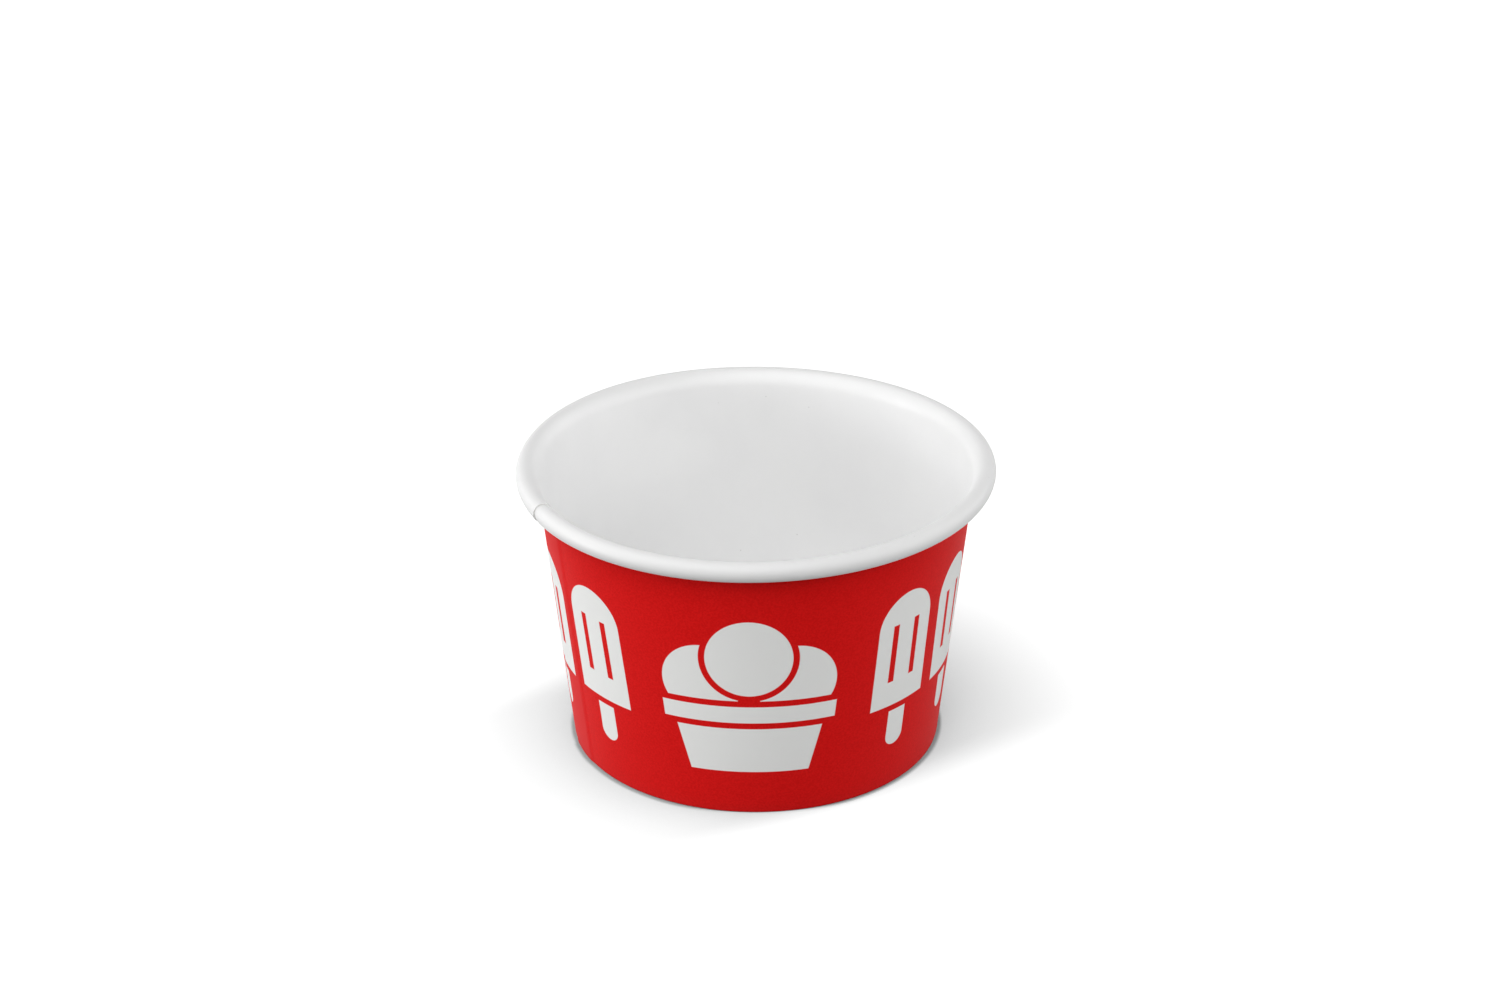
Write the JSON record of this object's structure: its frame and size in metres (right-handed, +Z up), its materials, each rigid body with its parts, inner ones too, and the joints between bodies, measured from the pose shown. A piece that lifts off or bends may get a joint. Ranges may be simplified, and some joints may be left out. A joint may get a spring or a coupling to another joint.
{
  "type": "paper ice cream cup",
  "caption": "Squat open paper cup with a rolled rim, a lapped side seam and a recessed flanged bottom, for serving ice cream or other cold desserts.",
  "frame": {"origin": "middle of the foot, on the plane that the cup stands on", "axes": "+Z up the cup's axis, through the open mouth; -Y towards the picture's viewer; +X to the viewer's right"},
  "size_m": [0.096, 0.096, 0.0596],
  "materials": {
    "printed_board": "coated paperboard, printed red outside and white inside",
    "white_board": "coated white paperboard"
  },
  "bodies": {
    "root": {"side_wall": "printed_board", "bottom_disc": "white_board"}
  },
  "joints": []
}
